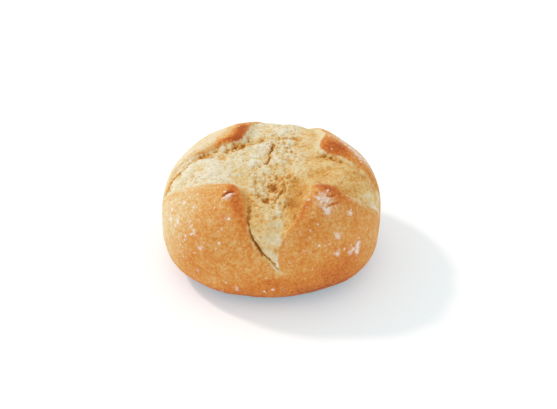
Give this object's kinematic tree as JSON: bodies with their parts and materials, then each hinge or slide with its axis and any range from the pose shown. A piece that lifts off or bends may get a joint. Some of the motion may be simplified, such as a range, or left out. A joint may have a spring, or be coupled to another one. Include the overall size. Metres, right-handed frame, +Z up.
{
  "type": "bread roll",
  "caption": "Round crusty bread roll with a flat base, cross-cut on top so that pale torn crumb stands open between raised lobes of golden brown crust.",
  "frame": {"origin": "middle of the roll's bounding box in plan, at the level of the flat base that it rests on", "axes": "+Z up through the crown; +X towards the right arm of the cross and -Y towards the front arm, the one that runs down the side facing the camera of the picture"},
  "size_m": [0.0982, 0.0936, 0.0521],
  "materials": {
    "baked_crust": null
  },
  "bodies": {
    "root": {"bread_roll": "baked_crust"}
  },
  "joints": []
}
